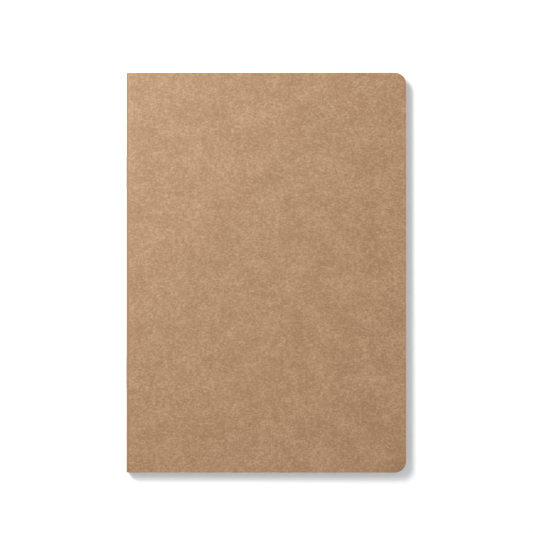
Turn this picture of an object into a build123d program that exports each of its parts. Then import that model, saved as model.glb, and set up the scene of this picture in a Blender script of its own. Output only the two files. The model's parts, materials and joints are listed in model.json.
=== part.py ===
from build123d import *

import os

# A pocket notebook, closed and lying on its back cover: a card cover and twelve sheets of
# paper, folded together at the spine and held there by two wire staples.
#
# Frame: the origin is the centre of the back cover's underside. +X points from the spine to
# the fore edge, +Y from the tail to the head, and +Z up, from the back cover to the front.
# Everything that turns does so about one hinge axis, which runs along Y inside the spine.

# Driving dimensions, in millimetres.
WIDTH = 103.5               # spine to fore edge, trimmed flush after folding
HEIGHT = 148.0              # tail to head
CORNER_RADIUS = 4.1         # the two corners at the fore edge; the spine's corners are square
COVER_THICKNESS = 0.40      # kraft card
LEAF_THICKNESS = 0.10       # writing paper
LEAF_PITCH = 0.1225         # from the middle of one leaf to the next, with the air between them
SHEET_COUNT = 12            # each folded sheet is one leaf above the spine's middle and one below

FOLD_REACH = 2.40           # from the hinge axis to where the covers and leaves lie flat
FOLD_GAP = 0.02             # between a fold strip and the plates that carry on from it
INNER_FOLD_RADIUS = 0.27    # middle of the innermost sheet, which goes round the staples' ends
OUTER_FOLD_RADIUS = 1.415   # middle of the outermost sheet, just inside the cover

WIRE_DIAMETER = 0.40
STAPLE_OFFSET = 37.0        # from the notebook's middle to each staple's middle
STAPLE_CROWN = 12.0         # from leg to leg
STAPLE_END_GAP = 2.0        # between the ends of the two legs, which are bent inwards
STAPLE_BEND = 0.35          # radius of the wire's bends, at its middle
STAPLE_PROUD = 0.15         # how far the crown stands out of the spine
WIRE_CLEARANCE = 0.05       # round the wire, where it passes through card and paper

# Worked out from them.
HALF_STACK = SHEET_COUNT * LEAF_PITCH
HALF_THICKNESS = HALF_STACK + COVER_THICKNESS
HINGE_X = HALF_THICKNESS - WIDTH / 2
HINGE_Z = HALF_THICKNESS
FORE_EDGE_X = WIDTH / 2
PLATE_START_X = HINGE_X + FOLD_REACH
FOLD_STEP = (OUTER_FOLD_RADIUS - INNER_FOLD_RADIUS) / (SHEET_COUNT - 1)


def flat_plate(middle_z, thickness):
    """A flat plate from the folds to the fore edge, with round corners at the fore edge."""
    length = FORE_EDGE_X - PLATE_START_X
    outline = Pos(PLATE_START_X + length / 2, 0, middle_z) * Rectangle(length, HEIGHT)
    outline = fillet(outline.vertices().group_by(Axis.X)[-1], CORNER_RADIUS)
    return extrude(outline, thickness / 2, both=True)


def strip_face(fold_radius, flat_height):
    """One face of a folded strip, seen along the hinge: straight, half a turn, straight."""
    reach = FOLD_REACH - FOLD_GAP
    above = Line((reach, flat_height), (0, fold_radius))
    bend = ThreePointArc((0, fold_radius), (-fold_radius, 0), (0, -fold_radius))
    below = Line((0, -fold_radius), (reach, -flat_height))
    return [above, bend, below]


def folded_strip(thickness, fold_radius, flat_height):
    """A strip bent round the hinge, as long as the spine. Its two ends lie flat_height above
    and below the hinge axis, level with the plates that carry on from them."""
    outer = strip_face(fold_radius + thickness / 2, flat_height + thickness / 2)
    inner = strip_face(fold_radius - thickness / 2, flat_height - thickness / 2)
    upper_end = Line(outer[0] @ 0, inner[0] @ 0)
    lower_end = Line(outer[-1] @ 1, inner[-1] @ 1)
    profile = make_face(outer + inner + [upper_end, lower_end])
    along_spine = Plane(origin=(HINGE_X, 0, HINGE_Z), x_dir=(1, 0, 0), z_dir=(0, -1, 0))
    return extrude(along_spine * profile, HEIGHT / 2, both=True)


def staple(middle_y, wire_radius):
    """A wire staple: its crown lies on the crest of the spine, its legs go in to the hinge
    axis, and their ends are bent towards each other along that axis."""
    leg_y = STAPLE_CROWN / 2
    end_y = STAPLE_END_GAP / 2
    crown_x = WIRE_DIAMETER / 2 - HALF_THICKNESS - STAPLE_PROUD
    route = [(0, end_y), (0, leg_y), (crown_x, leg_y), (crown_x, -leg_y), (0, -leg_y), (0, -end_y)]
    path = FilletPolyline(*route, radius=STAPLE_BEND)
    section = Plane(origin=path @ 0, z_dir=path % 0) * Circle(wire_radius)
    return Pos(HINGE_X, middle_y, HINGE_Z) * sweep(section, path)


def staple_holes():
    """The room that both staples need in the card and the paper."""
    hole_radius = WIRE_DIAMETER / 2 + WIRE_CLEARANCE
    return staple(STAPLE_OFFSET, hole_radius) + staple(-STAPLE_OFFSET, hole_radius)


def cover_nodes(holes):
    """The card cover: its two boards and the fold between them."""
    middle = HALF_STACK + COVER_THICKNESS / 2
    return {
        "front_cover": flat_plate(HINGE_Z + middle, COVER_THICKNESS),
        "back_cover": flat_plate(HINGE_Z - middle, COVER_THICKNESS),
        "cover_spine_fold": folded_strip(COVER_THICKNESS, middle, middle) - holes,
    }


def sheet_nodes(holes):
    """Every sheet, from the outermost in: its upper leaf, its lower leaf and its fold."""
    nodes = {}
    for sheet in range(1, SHEET_COUNT + 1):
        height = (SHEET_COUNT + 0.5 - sheet) * LEAF_PITCH
        fold_radius = OUTER_FOLD_RADIUS - (sheet - 1) * FOLD_STEP
        lower_leaf = 2 * SHEET_COUNT + 1 - sheet
        nodes[f"leaf_{sheet:02d}"] = flat_plate(HINGE_Z + height, LEAF_THICKNESS)
        nodes[f"leaf_{lower_leaf:02d}"] = flat_plate(HINGE_Z - height, LEAF_THICKNESS)
        nodes[f"sheet_fold_{sheet:02d}"] = folded_strip(LEAF_THICKNESS, fold_radius, height) - holes
    return nodes


def staple_nodes():
    """The two staples, near the head and near the tail."""
    return {
        "head_staple": staple(STAPLE_OFFSET, WIRE_DIAMETER / 2),
        "tail_staple": staple(-STAPLE_OFFSET, WIRE_DIAMETER / 2),
    }


def main():
    holes = staple_holes()
    nodes = cover_nodes(holes) | sheet_nodes(holes) | staple_nodes()
    os.makedirs("parts", exist_ok=True)
    for name, shape in nodes.items():
        export_step(shape, f"parts/{name}.step")


main()
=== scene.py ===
import json
import math
import random
from collections import namedtuple

import bmesh
import bpy
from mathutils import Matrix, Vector


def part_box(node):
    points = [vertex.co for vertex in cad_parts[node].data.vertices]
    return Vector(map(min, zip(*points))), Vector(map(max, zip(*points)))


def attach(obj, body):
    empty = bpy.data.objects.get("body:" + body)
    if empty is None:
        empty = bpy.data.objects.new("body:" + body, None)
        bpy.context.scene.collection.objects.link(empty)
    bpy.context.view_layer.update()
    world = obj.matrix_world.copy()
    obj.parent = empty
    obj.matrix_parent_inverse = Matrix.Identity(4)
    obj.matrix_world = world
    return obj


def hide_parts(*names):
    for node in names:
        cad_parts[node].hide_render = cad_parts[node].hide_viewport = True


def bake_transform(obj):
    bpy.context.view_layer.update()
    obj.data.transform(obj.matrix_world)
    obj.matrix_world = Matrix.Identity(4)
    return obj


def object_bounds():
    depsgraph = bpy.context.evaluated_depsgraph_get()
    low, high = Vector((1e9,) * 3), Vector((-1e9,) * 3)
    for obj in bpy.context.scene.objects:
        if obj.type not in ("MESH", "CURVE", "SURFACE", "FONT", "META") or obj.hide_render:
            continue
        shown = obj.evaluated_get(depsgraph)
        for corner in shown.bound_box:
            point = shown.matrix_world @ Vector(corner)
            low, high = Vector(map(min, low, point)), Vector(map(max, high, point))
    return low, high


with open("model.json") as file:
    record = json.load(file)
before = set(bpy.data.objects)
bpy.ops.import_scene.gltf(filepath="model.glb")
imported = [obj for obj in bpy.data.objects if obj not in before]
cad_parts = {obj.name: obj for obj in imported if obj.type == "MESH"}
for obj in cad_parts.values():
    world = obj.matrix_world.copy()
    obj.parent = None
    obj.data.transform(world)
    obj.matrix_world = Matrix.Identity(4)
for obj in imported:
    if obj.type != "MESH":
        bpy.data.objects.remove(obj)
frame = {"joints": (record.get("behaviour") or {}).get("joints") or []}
cad_low, cad_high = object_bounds()

# A closed pocket notebook, in metres. Sizes and places come from the CAD frame; the values
# here are the ones that only the looks need.
MM = 0.001
SHEET_COUNT = 12
STAPLES = ("head_staple", "tail_staple")
UV_NAME = "Plan"                # metres along the sheet and metres up the page
SHARP_ANGLE = math.radians(40)  # edges sharper than this stay crisp

# The sheets' meshes.
CORNER_RADIUS = 4.1 * MM
CORNER_STEPS = 8                # columns round each fore-edge corner
PLATE_COLUMN = 5 * MM           # between columns on the flat of a cover or leaf
COVER_FOLD_STEPS = 36
COVER_ROW = 5 * MM
PAGE_FOLD_STEPS = 14
PAGE_ROWS = 14

# The cover.
ROUND = 2.0                     # squareness of a fold that is half a circle
SPINE_SQUARENESS = 4.0          # the card is pressed at the spine, so its nose isn't quite round
COVER_EDGE_ROUNDING = 0.04 * MM
STAPLE_CLEAR = 0.7 * MM         # the card is pressed in this far round a staple's crown
STAPLE_DENT = 0.13 * MM
DENT_MARGIN = 1.5               # of STAPLE_CLEAR: the fine rows start this far past a crown
DENT_GAP = 2                    # of STAPLE_CLEAR: the even rows keep this far from the fine ones
DENT_END_ROWS = 9
DENT_MIDDLE_ROWS = 6

# The leaves.
TRIM_JITTER = 0.07 * MM         # how unevenly the leaves were trimmed
GRAIN_SHIFT = 131 * MM          # from one leaf to the next, so that no two have the same grain
GAP_UNEVENNESS = 0.85           # share of the air between the leaves that is dealt out by chance
PAGES_SEED = 7

# The staples.
STAPLE_END = 1.0 * MM           # from a staple's middle to the end of each bent leg
WIRE_BEND = 0.35 * MM           # radius of the wire's bends
WIRE_BEND_STEPS = 6
WIRE_SIDES = 16
WIRE_CHAMFER = 0.2              # of the wire's radius, at its cut ends

# The darkest and lightest tone of each material, in display values from 0 to 255.
KRAFT = (138, 102, 66), (173, 139, 105)
KRAFT_CUT_EDGE = (142, 108, 74), (179, 146, 112)
PAPER = (213, 203, 184), (220, 210, 192)
PAPER_CUT_EDGE = (208, 193, 168), (230, 217, 195)
STEEL = (168, 168, 171), (196, 197, 200)

KRAFT_SHEEN = 0.65              # the card is pressed smooth, so it shines more than plain paper
KRAFT_TONES = (0.715, 1.465)    # the kraft's grain is darkest below the first, lightest above
SPINE_SHADE_FADE = (1.7, 2.4)          # millimetres from the crest of the spine, where the painted shade on it fades out
FIBRE_BEND_SCALE = 0.35         # per millimetre
FIBRE_BEND = 2.2                # millimetres that the fibres wander from straight
FIBRE_SHIFT = 3.7               # between strokes at different angles, so that they don't line up

FLOOR_SIZE = 40.0
FLOOR_DROP = 0.02 * MM          # below the notebook, so that their faces don't fight
FLOOR_GRAIN = 900.0             # per metre
FLOOR_WHITE = (0.93, 0.93, 0.93, 1)  # a linear colour

# A warm key from the upper left draws the shadow, and a lower lamp gives the cover its sheen.
# The cool ambient light keeps the shadow neutral beside the brown card.
KEY_LIGHT = {"position": (-0.60, 0.69, 0.66), "size": 0.36, "power": 8.45, "color": (1.0, 0.95, 0.90)}
SHEEN_LIGHT = {"position": (-0.18, 0.145, 0.29), "size": 0.16, "power": 0.70, "color": (1, 1, 1)}
AMBIENT_STRENGTH = 0.62
AMBIENT_COLOR = (0.97, 1.0, 1.04, 1)

LENS = 100                      # millimetres, as SENSOR_WIDTH
SENSOR_WIDTH = 36
VIEW_WIDTH = 197.23 * MM        # at the height of the front cover
VIEW_CENTRE = (0.14 * MM, 2.27 * MM)

hinge_joint = next(j for j in frame["joints"] if j["name"] == "front_cover_hinge")
HINGE = Vector(hinge_joint["pos_m"])

Station = namedtuple("Station", "x z out_x out_z along half_height")


def smooth(t):
    """0 to 1, level at both ends."""
    t = min(1.0, max(0.0, t))
    return t * t * (3 - 2 * t)


def spread(low, high, steps):
    """steps + 1 evenly spaced values from low to high."""
    return [low + (high - low) * i / steps for i in range(steps + 1)]


def signed_power(value, exponent):
    """The value's size raised to the exponent, with the value's sign."""
    return math.copysign(abs(value) ** exponent, value)


def place(name, bm):
    """Puts a mesh into the scene as an object, smooth but for its sharp edges."""
    bmesh.ops.recalc_face_normals(bm, faces=bm.faces)
    mesh = bpy.data.meshes.new(name)
    bm.to_mesh(mesh)
    bm.free()
    mesh.shade_smooth()
    mesh.set_sharp_from_angle(angle=SHARP_ANGLE)
    piece = bpy.data.objects.new(name, mesh)
    bpy.context.scene.collection.objects.link(piece)
    return piece


# ---- Sheets: a line across the spine, seen along the hinge, drawn out from tail to head ----

def fore_edge_columns(reach, half_height):
    """(distance from the hinge, half height) of the columns round the fore-edge corners,
    from the fore edge inwards."""
    columns = []
    for angle in spread(0, math.pi / 2, CORNER_STEPS):
        inset = CORNER_RADIUS * (1 - math.cos(angle))
        rise = CORNER_RADIUS * (1 - math.sin(angle))
        columns.append((reach - inset, half_height - rise))
    return columns


def plate_columns(start, reach, half_height):
    """The columns of a flat plate, from where it starts to the fore edge."""
    corner = fore_edge_columns(reach, half_height)
    flat_end = corner[-1][0]
    steps = max(1, round((flat_end - start) / PLATE_COLUMN))
    flat = [(x, half_height) for x in spread(start, flat_end, steps)]
    return flat + corner[-2::-1]


def fold_points(radius, half_height, steps, squareness):
    """Half a turn round the hinge on the spine's side, from below it to above. The more the
    squareness is above ROUND, the flatter the spine was pressed."""
    points = []
    for angle in spread(1.5 * math.pi, 0.5 * math.pi, steps):
        c = signed_power(math.cos(angle), 2 / squareness)
        s = signed_power(math.sin(angle), 2 / squareness)
        out = Vector((signed_power(c, squareness - 1), signed_power(s, squareness - 1)))
        out.normalize()
        points.append((radius * c, radius * s, out.x, out.y, half_height))
    return points


def with_lengths(points, along=0.0):
    """Stations from (x, z, out_x, out_z, half_height), adding the distance along the line."""
    stations = []
    for i, (x, z, out_x, out_z, half_height) in enumerate(points):
        if i:
            along += math.dist((x, z), points[i - 1][:2])
        stations.append(Station(x, z, out_x, out_z, along, half_height))
    return stations


def build_sheet(name, stations, rows, thickness, dent=None, rounding=0.0):
    """A closed mesh: both faces of the sheet and its cut edge. rows are shares of the half
    height. dent(station, y) is how far the sheet is pressed in there."""
    bm = bmesh.new()
    uv = bm.loops.layers.uv.new(UV_NAME)
    plan = {}

    def vertex(station, share, side):
        y = share * station.half_height
        offset = side * thickness / 2 - (dent(station, y) if dent else 0.0)
        v = bm.verts.new((
            HINGE.x + station.x + station.out_x * offset,
            HINGE.y + y,
            HINGE.z + station.z + station.out_z * offset,
        ))
        plan[v] = (station.along, y)
        return v

    def face(corners, material):
        made = bm.faces.new(corners)
        made.material_index = material
        for loop in made.loops:
            loop[uv].uv = plan[loop.vert]

    outer = [[vertex(s, share, 1) for share in rows] for s in stations]
    inner = [[vertex(s, share, -1) for share in rows] for s in stations]

    last_column = len(stations) - 1
    last_row = len(rows) - 1
    for i in range(last_column):
        for j in range(last_row):
            face((outer[i][j], outer[i + 1][j], outer[i + 1][j + 1], outer[i][j + 1]), 0)
            face((inner[i][j], inner[i][j + 1], inner[i + 1][j + 1], inner[i + 1][j]), 0)
        face((outer[i][0], inner[i][0], inner[i + 1][0], outer[i + 1][0]), 1)
        face((outer[i][-1], outer[i + 1][-1], inner[i + 1][-1], inner[i][-1]), 1)
    for j in range(last_row):
        face((outer[0][j], outer[0][j + 1], inner[0][j + 1], inner[0][j]), 1)
        face((outer[-1][j], inner[-1][j], inner[-1][j + 1], outer[-1][j + 1]), 1)

    if rounding:
        rim = [e for e in bm.edges
               if len(e.link_faces) == 2
               and e.link_faces[0].material_index != e.link_faces[1].material_index]
        bmesh.ops.bevel(bm, geom=rim, offset=rounding, segments=2, profile=0.5, affect="EDGES",
                        material=1)
    return place(name, bm)


# ---- The kraft cover ----

def staple_spans():
    """The stretch of the spine, along Y, that each staple's crown covers."""
    boxes = [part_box(node) for node in STAPLES]
    return [(low.y, high.y) for low, high in boxes]


STAPLE_SPANS = staple_spans()


def cover_dent(station, y):
    """The card gives way under a staple's crown, which lies along the crest of the spine."""
    if station.out_x >= 0:
        return 0.0
    press = 0.0
    for low, high in STAPLE_SPANS:
        past_end = max(0.0, low - y, y - high)
        distance = math.hypot(station.z, past_end)
        press = max(press, 1 - smooth(distance / STAPLE_CLEAR))
    return STAPLE_DENT * press


def cover_rows(half_height):
    """Rows up the cover, closer together round the staples."""
    margin = DENT_MARGIN * STAPLE_CLEAR
    gap = DENT_GAP * STAPLE_CLEAR
    steps = round(2 * half_height / COVER_ROW)
    values = spread(-half_height, half_height, steps)
    for low, high in STAPLE_SPANS:
        values = [y for y in values if not low - gap < y < high + gap]
        values += spread(low - margin, low + STAPLE_CLEAR, DENT_END_ROWS)
        values += spread(high - STAPLE_CLEAR, high + margin, DENT_END_ROWS)
        values += spread(low + gap, high - gap, DENT_MIDDLE_ROWS)
    return [y / half_height for y in sorted(values)]


def make_cover():
    """One folded card: back board, spine and front board. Also gives how far along the card
    the crest of the spine lies."""
    low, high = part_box("front_cover")
    thickness = high.z - low.z
    radius = (high.z + low.z) / 2 - HINGE.z
    columns = plate_columns(0.0, high.x - HINGE.x, high.y)
    back = [(x, -radius, 0, -1, half) for x, half in reversed(columns[1:])]
    spine = fold_points(radius, high.y, COVER_FOLD_STEPS, SPINE_SQUARENESS)
    front = [(x, radius, 0, 1, half) for x, half in columns[1:]]
    stations = with_lengths(back + spine + front)
    cover = build_sheet("kraft_cover", stations, cover_rows(high.y), thickness, cover_dent,
                        COVER_EDGE_ROUNDING)
    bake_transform(cover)
    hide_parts("front_cover", "back_cover", "cover_spine_fold")
    return cover, stations[-1].along / 2


# ---- The leaves ----

def leaf_sizes(sheet):
    """Of one sheet: its upper leaf's height above the hinge, fold radius and thickness."""
    low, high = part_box(f"leaf_{sheet:02d}")
    fold_low, fold_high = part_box(f"sheet_fold_{sheet:02d}")
    thickness = high.z - low.z
    height = (high.z + low.z) / 2 - HINGE.z
    return height, (fold_high.z - fold_low.z - thickness) / 2, thickness


def fore_edge_heights(rng):
    """Height of every leaf at the fore edge, from the lowest up. The air is dealt out
    unevenly, so some leaves lie close together and some stand apart."""
    count = 2 * SHEET_COUNT
    even = [leaf_sizes(sheet)[0] for sheet in range(1, SHEET_COUNT + 1)]
    thickness = leaf_sizes(1)[2]
    pitch = even[0] - even[1]
    shares = [rng.expovariate(1.0) for _ in range(count - 1)]
    total_air = (pitch - thickness) * (count - 1)
    heights = [-even[0]]
    for share in shares:
        chance = total_air * share / sum(shares)
        air = GAP_UNEVENNESS * chance + (1 - GAP_UNEVENNESS) * (pitch - thickness)
        heights.append(heights[-1] + thickness + air)
    return heights


def page_points(side, height, radius, fore_height, reach, half_height, bend_reach):
    """A leaf from the hinge out to the fore edge. side is 1 above the hinge and -1 below."""
    near = [(x, half_height) for x in spread(0.0, bend_reach, PAGE_FOLD_STEPS)]
    far = plate_columns(bend_reach, reach, half_height)[1:]
    points = []
    for x, half in near + far:
        level = radius + (height - radius) * smooth(x / bend_reach)
        settle = smooth((x - bend_reach) / (reach - bend_reach))
        z = side * level + (fore_height - side * height) * settle
        points.append((x, z, 0, side, half))
    return points


def make_page(leaf, fore_height, rng):
    """One leaf. An upper leaf also has the fold that joins it to the lower leaf of its sheet."""
    upper = leaf <= SHEET_COUNT
    side = 1 if upper else -1
    sheet = leaf if upper else 2 * SHEET_COUNT + 1 - leaf
    height, radius, thickness = leaf_sizes(sheet)
    low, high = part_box(f"leaf_{leaf:02d}")
    bend_reach = low.x - HINGE.x
    reach = high.x - HINGE.x - rng.uniform(0, TRIM_JITTER)
    half_height = high.y - rng.uniform(0, TRIM_JITTER)
    points = page_points(side, height, radius, fore_height, reach, half_height, bend_reach)
    if upper:
        points = fold_points(radius, half_height, PAGE_FOLD_STEPS, ROUND)[:-1] + points
    stations = with_lengths(points, leaf * GRAIN_SHIFT)
    page = build_sheet(f"page_{leaf:02d}", stations, spread(-1, 1, PAGE_ROWS), thickness)
    body = f"leaf_{leaf:02d}"
    if upper:
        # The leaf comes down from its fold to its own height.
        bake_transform(page)
        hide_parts(body, f"sheet_fold_{sheet:02d}")
    else:
        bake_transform(page)
        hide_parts(body)
    return page


def make_pages():
    rng = random.Random(PAGES_SEED)
    heights = fore_edge_heights(rng)
    return [make_page(leaf, heights[2 * SHEET_COUNT - leaf], rng)
            for leaf in range(1, 2 * SHEET_COUNT + 1)]


# ---- The staples ----

def rounded_path(corners, radius):
    """Points along straight runs joined by arcs. Every corner is a right angle."""
    path = [corners[0]]
    for before, corner, after in zip(corners, corners[1:], corners[2:]):
        towards = (before - corner).normalized()
        away = (after - corner).normalized()
        centre = corner + (towards + away) * radius
        for turn in spread(0, math.pi / 2, WIRE_BEND_STEPS):
            path.append(centre - away * radius * math.cos(turn) - towards * radius * math.sin(turn))
    path.append(corners[-1])
    return path


def wire_sections(path, radius):
    """(centre, heading, radius, distance along) of each ring of a wire, whose cut ends are
    chamfered."""
    last = len(path) - 1
    chamfer = WIRE_CHAMFER * radius
    sections = []
    along = 0.0
    for i, point in enumerate(path):
        if i:
            along += (point - path[i - 1]).length
        heading = (path[min(i + 1, last)] - path[max(i - 1, 0)]).normalized()
        if i == 0:
            sections.append((point, heading, radius - chamfer, along))
            sections.append((point + heading * chamfer, heading, radius, along))
        elif i == last:
            sections.append((point - heading * chamfer, heading, radius, along))
            sections.append((point, heading, radius - chamfer, along))
        else:
            sections.append((point, heading, radius, along))
    return sections


def build_wire(name, path, radius):
    """A closed round wire along a path that lies level."""
    bm = bmesh.new()
    uv = bm.loops.layers.uv.new(UV_NAME)
    plan = {}
    rings = []
    for centre, heading, section_radius, along in wire_sections(path, radius):
        across = Vector((-heading.y, heading.x, 0))
        ring = []
        for i in range(WIRE_SIDES):
            angle = 2 * math.pi * i / WIRE_SIDES
            offset = across * math.cos(angle) + Vector((0, 0, 1)) * math.sin(angle)
            v = bm.verts.new(centre + offset * section_radius)
            plan[v] = (along, radius * angle)
            ring.append(v)
        rings.append(ring)
    for one, two in zip(rings, rings[1:]):
        for i in range(WIRE_SIDES):
            k = (i + 1) % WIRE_SIDES
            bm.faces.new((one[i], one[k], two[k], two[i]))
    bm.faces.new(rings[0])
    bm.faces.new(rings[-1])
    for face in bm.faces:
        for loop in face.loops:
            loop[uv].uv = plan[loop.vert]
    return place(name, bm)


def make_staple(node):
    """Crown on the spine's crest, legs in to the hinge, ends bent together."""
    low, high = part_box(node)
    wire = (high.z - low.z) / 2
    middle = (low.y + high.y) / 2
    leg = (high.y - low.y) / 2 - wire
    crown = low.x + wire
    half = [(HINGE.x, STAPLE_END), (HINGE.x, leg), (crown, leg)]
    route = half + [(x, -y) for x, y in reversed(half)]
    corners = [Vector((x, middle + y, HINGE.z)) for x, y in route]
    staple = build_wire(f"{node}_wire", rounded_path(corners, WIRE_BEND), wire)
    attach(staple, "spine")
    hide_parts(node)
    return staple


# ---- Materials: their scales are per millimetre and their lengths in millimetres ----

def rgba(red, green, blue):
    """A linear colour from 0 to 255 display values."""
    def linear(value):
        share = value / 255
        return share / 12.92 if share <= 0.04045 else ((share + 0.055) / 1.055) ** 2.4
    return (linear(red), linear(green), linear(blue), 1.0)


class Nodes:
    """A small helper to write a node tree from left to right."""

    def __init__(self, name):
        self.material = bpy.data.materials.new(name)
        self.material.use_nodes = True
        self.tree = self.material.node_tree
        self.tree.nodes.clear()

    def add(self, kind, inputs=(), **settings):
        node = self.tree.nodes.new(f"ShaderNode{kind}")
        for key, value in settings.items():
            setattr(node, key, value)
        for socket, value in dict(inputs).items():
            self.feed(node.inputs[socket], value)
        return node

    def feed(self, socket, value):
        if isinstance(value, bpy.types.NodeSocket):
            self.tree.links.new(value, socket)
        else:
            socket.default_value = value

    def plan(self):
        """The sheet's own plane, in millimetres."""
        uv = self.add("UVMap", uv_map=UV_NAME).outputs["UV"]
        return self.add("VectorMath", {0: uv, "Scale": 1 / MM}, operation="SCALE").outputs[0]

    def turned(self, plan, angle, along, across, shift=0.0):
        """The plane turned and stretched, for grain that runs one way."""
        mapped = self.add("Mapping", {
            "Vector": plan,
            "Location": (shift, 2 * shift, 0),
            "Rotation": (0, 0, math.radians(angle)),
            "Scale": (1 / along, 1 / across, 1),
        })
        return mapped.outputs[0]

    def noise(self, vector, scale, detail, roughness=0.5):
        made = self.add("TexNoise", {
            "Vector": vector, "Scale": scale, "Detail": detail, "Roughness": roughness,
        })
        return made.outputs["Fac"]

    def band(self, value, low, high):
        """0 below low, 1 above high."""
        made = self.add("MapRange", {
            "Value": value, "From Min": low, "From Max": high,
        }, clamp=True, interpolation_type="SMOOTHSTEP")
        return made.outputs[0]

    def between(self, value, low, high):
        """Low where the value is 0 and high where it is 1."""
        return self.add("MapRange", {"Value": value, "To Min": low, "To Max": high}).outputs[0]

    def math(self, operation, a, b):
        return self.add("Math", {0: a, 1: b}, operation=operation).outputs[0]

    def total(self, *parts):
        """The sum of (value, weight) pairs."""
        made = None
        for value, weight in parts:
            part = self.math("MULTIPLY", value, weight)
            made = part if made is None else self.math("ADD", made, part)
        return made

    def mix(self, factor, a, b):
        made = self.add("Mix", data_type="RGBA")
        self.feed(made.inputs["Factor"], factor)
        self.feed(made.inputs["A"], a)
        self.feed(made.inputs["B"], b)
        return made.outputs["Result"]

    def finish(self, color, height, depth, **shader):
        """The shader, with bump from height, whose full range is depth deep in metres."""
        bump = self.add("Bump", {"Height": height, "Strength": 1.0, "Distance": depth})
        principled = self.add("BsdfPrincipled", {"Base Color": color, "Normal": bump.outputs[0]})
        for key, value in shader.items():
            self.feed(principled.inputs[key.replace("_", " ")], value)
        output = self.add("OutputMaterial")
        self.tree.links.new(principled.outputs[0], output.inputs[0])
        return self.material


def fibres(nodes, plan, angles, length, width, low, high):
    """Short strokes lying at several angles: 0 between them and 1 on them."""
    wander = nodes.add("TexNoise", {"Vector": plan, "Scale": FIBRE_BEND_SCALE, "Detail": 1.0})
    bent = nodes.add("VectorMath", {0: wander.outputs["Color"], "Scale": FIBRE_BEND},
                     operation="SCALE")
    winding = nodes.add("VectorMath", {0: plan, 1: bent.outputs[0]}, operation="ADD").outputs[0]
    strokes = None
    for i, angle in enumerate(angles):
        lie = nodes.turned(winding, angle, length, width, FIBRE_SHIFT * i)
        stroke = nodes.band(nodes.noise(lie, scale=1.0, detail=1.0), low, high)
        strokes = stroke if strokes is None else nodes.math("MAXIMUM", strokes, stroke)
    return strokes


def spine_crest(nodes, plan, crest):
    """1 on the spine and 0 on the boards, where painted shade darkens the card. crest is how far
    along the card its middle lies.
    """
    across = nodes.add("SeparateXYZ", {0: plan}).outputs["X"]
    distance = nodes.math("ABSOLUTE", nodes.math("SUBTRACT", across, crest / MM), 0.0)
    return nodes.math("SUBTRACT", 1.0, nodes.band(distance, *SPINE_SHADE_FADE))


def kraft_material(name, dark, light, crest):
    """Kraft card: fine mottling, broader clouds and short pale and dark fibres, and painted shade
    along the spine, which offsets the light that its round nose catches."""
    nodes = Nodes(name)
    plan = nodes.plan()
    # Painted shade: the card is darkened along the spine, where the key light brightens its round
    # nose.
    spine_shade = spine_crest(nodes, plan, crest)
    mottle = nodes.noise(plan, scale=1.10, detail=2.5, roughness=0.62)
    patches = nodes.noise(plan, scale=0.42, detail=2.0)
    clouds = nodes.noise(plan, scale=0.11, detail=2.0)
    tooth = nodes.noise(plan, scale=6.0, detail=2.0, roughness=0.6)
    pale = fibres(nodes, plan, (20, 65, 110, 155), length=1.3, width=0.34, low=0.58, high=0.76)
    deep = fibres(nodes, plan, (42, 87, 132, 177), length=1.2, width=0.36, low=0.58, high=0.78)
    # The last term is the painted shade on the spine.
    tone = nodes.total(
        (mottle, 0.92), (patches, 0.47), (clouds, 0.40), (tooth, 0.18), (pale, 0.25), (deep, -0.25),
        (spine_shade, -0.35))
    color = nodes.mix(nodes.band(tone, *KRAFT_TONES), rgba(*dark), rgba(*light))
    relief = nodes.total((mottle, 0.5), (tooth, 0.3), (pale, 0.35))
    rough = nodes.between(mottle, 0.50, 0.64)
    return nodes.finish(color, relief, depth=0.02 * MM, Roughness=rough,
                        Specular_IOR_Level=KRAFT_SHEEN)


def page_material(name, dark, light):
    """Smooth writing paper, a little cloudy, with faint threads in it."""
    nodes = Nodes(name)
    plan = nodes.plan()
    formation = nodes.noise(plan, scale=0.5, detail=3.0, roughness=0.55)
    tooth = nodes.noise(plan, scale=6.0, detail=2.0, roughness=0.6)
    threads = fibres(nodes, plan, (20, 75, 130), length=1.4, width=0.12, low=0.62, high=0.8)
    color = nodes.mix(nodes.band(formation, 0.25, 0.75), rgba(*dark), rgba(*light))
    color = nodes.mix(nodes.math("MULTIPLY", threads, 0.2), color, rgba(*dark))
    relief = nodes.total((tooth, 0.6), (threads, 0.4))
    return nodes.finish(color, relief, depth=0.003 * MM, Roughness=0.85)


def steel_material(name, dark, light):
    """Drawn wire: fine lines along it and duller spots."""
    nodes = Nodes(name)
    plan = nodes.plan()
    drawn = nodes.noise(nodes.turned(plan, 0, along=3.0, across=0.04), scale=1.0, detail=3.0)
    spots = nodes.noise(plan, scale=2.5, detail=2.0)
    color = nodes.mix(nodes.band(spots, 0.35, 0.75), rgba(*light), rgba(*dark))
    rough = nodes.between(drawn, 0.22, 0.42)
    return nodes.finish(color, drawn, depth=0.004 * MM, Metallic=1.0, Roughness=rough)


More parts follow.
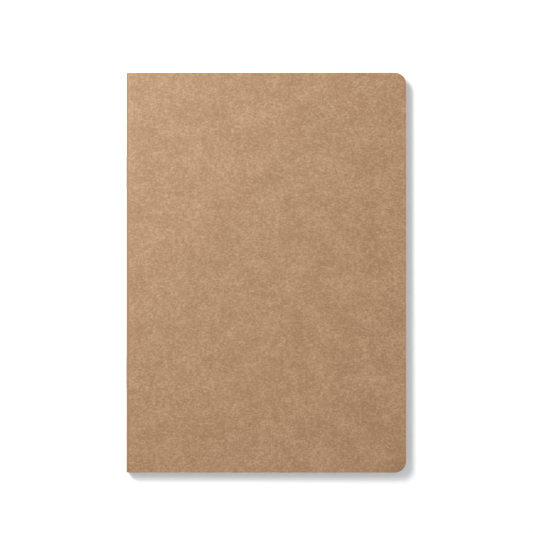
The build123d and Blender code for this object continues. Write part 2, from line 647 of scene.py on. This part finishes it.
def floor_material(name):
    nodes = Nodes(name)
    coordinates = nodes.add("TexCoord").outputs["Object"]
    grain = nodes.noise(coordinates, scale=FLOOR_GRAIN, detail=2.0)
    return nodes.finish(FLOOR_WHITE, grain, depth=0.01 * MM, Roughness=0.9)


def paint(piece, *materials):
    for material in materials:
        piece.data.materials.append(material)


# ---- Floor, light and camera ----

def make_floor():
    bpy.ops.mesh.primitive_plane_add(size=FLOOR_SIZE, location=(0, 0, -FLOOR_DROP))
    floor = bpy.context.object
    floor.name = "floor"
    paint(floor, floor_material("floor_paper"))


def make_light(name, position, size, power, color):
    """A round lamp that points at the notebook."""
    data = bpy.data.lights.new(name, "AREA")
    data.color = color
    data.shape = "DISK"
    data.size = size
    data.energy = power
    lamp = bpy.data.objects.new(name, data)
    lamp.location = position
    lamp.rotation_mode = "QUATERNION"
    lamp.rotation_quaternion = (-Vector(position)).to_track_quat("-Z", "Y")
    bpy.context.scene.collection.objects.link(lamp)


def make_world():
    world = bpy.data.worlds.new("studio")
    world.use_nodes = True
    background = world.node_tree.nodes["Background"]
    background.inputs["Color"].default_value = AMBIENT_COLOR
    background.inputs["Strength"].default_value = AMBIENT_STRENGTH
    bpy.context.scene.world = world


def make_camera():
    """Straight above the notebook, which lies a little below the middle of the view."""
    data = bpy.data.cameras.new("camera")
    data.lens = LENS
    data.sensor_width = SENSOR_WIDTH
    camera = bpy.data.objects.new("camera", data)
    camera.location = (*VIEW_CENTRE, cad_high.z + VIEW_WIDTH * LENS / SENSOR_WIDTH)
    bpy.context.scene.collection.objects.link(camera)
    bpy.context.scene.camera = camera


make_camera()
make_floor()
make_light("key", **KEY_LIGHT)
make_light("sheen", **SHEEN_LIGHT)
make_world()
bpy.context.scene.view_settings.view_transform = "Standard"

cover, crest = make_cover()
pages = make_pages()
staples = [make_staple(node) for node in STAPLES]

paint(cover, kraft_material("kraft_card", *KRAFT, crest),
      kraft_material("kraft_cut_edge", *KRAFT_CUT_EDGE, crest))
page_face = page_material("page_paper", *PAPER)
page_edge = page_material("page_cut_edge", *PAPER_CUT_EDGE)
for page in pages:
    paint(page, page_face, page_edge)
steel = steel_material("staple_steel", *STEEL)
for staple in staples:
    paint(staple, steel)
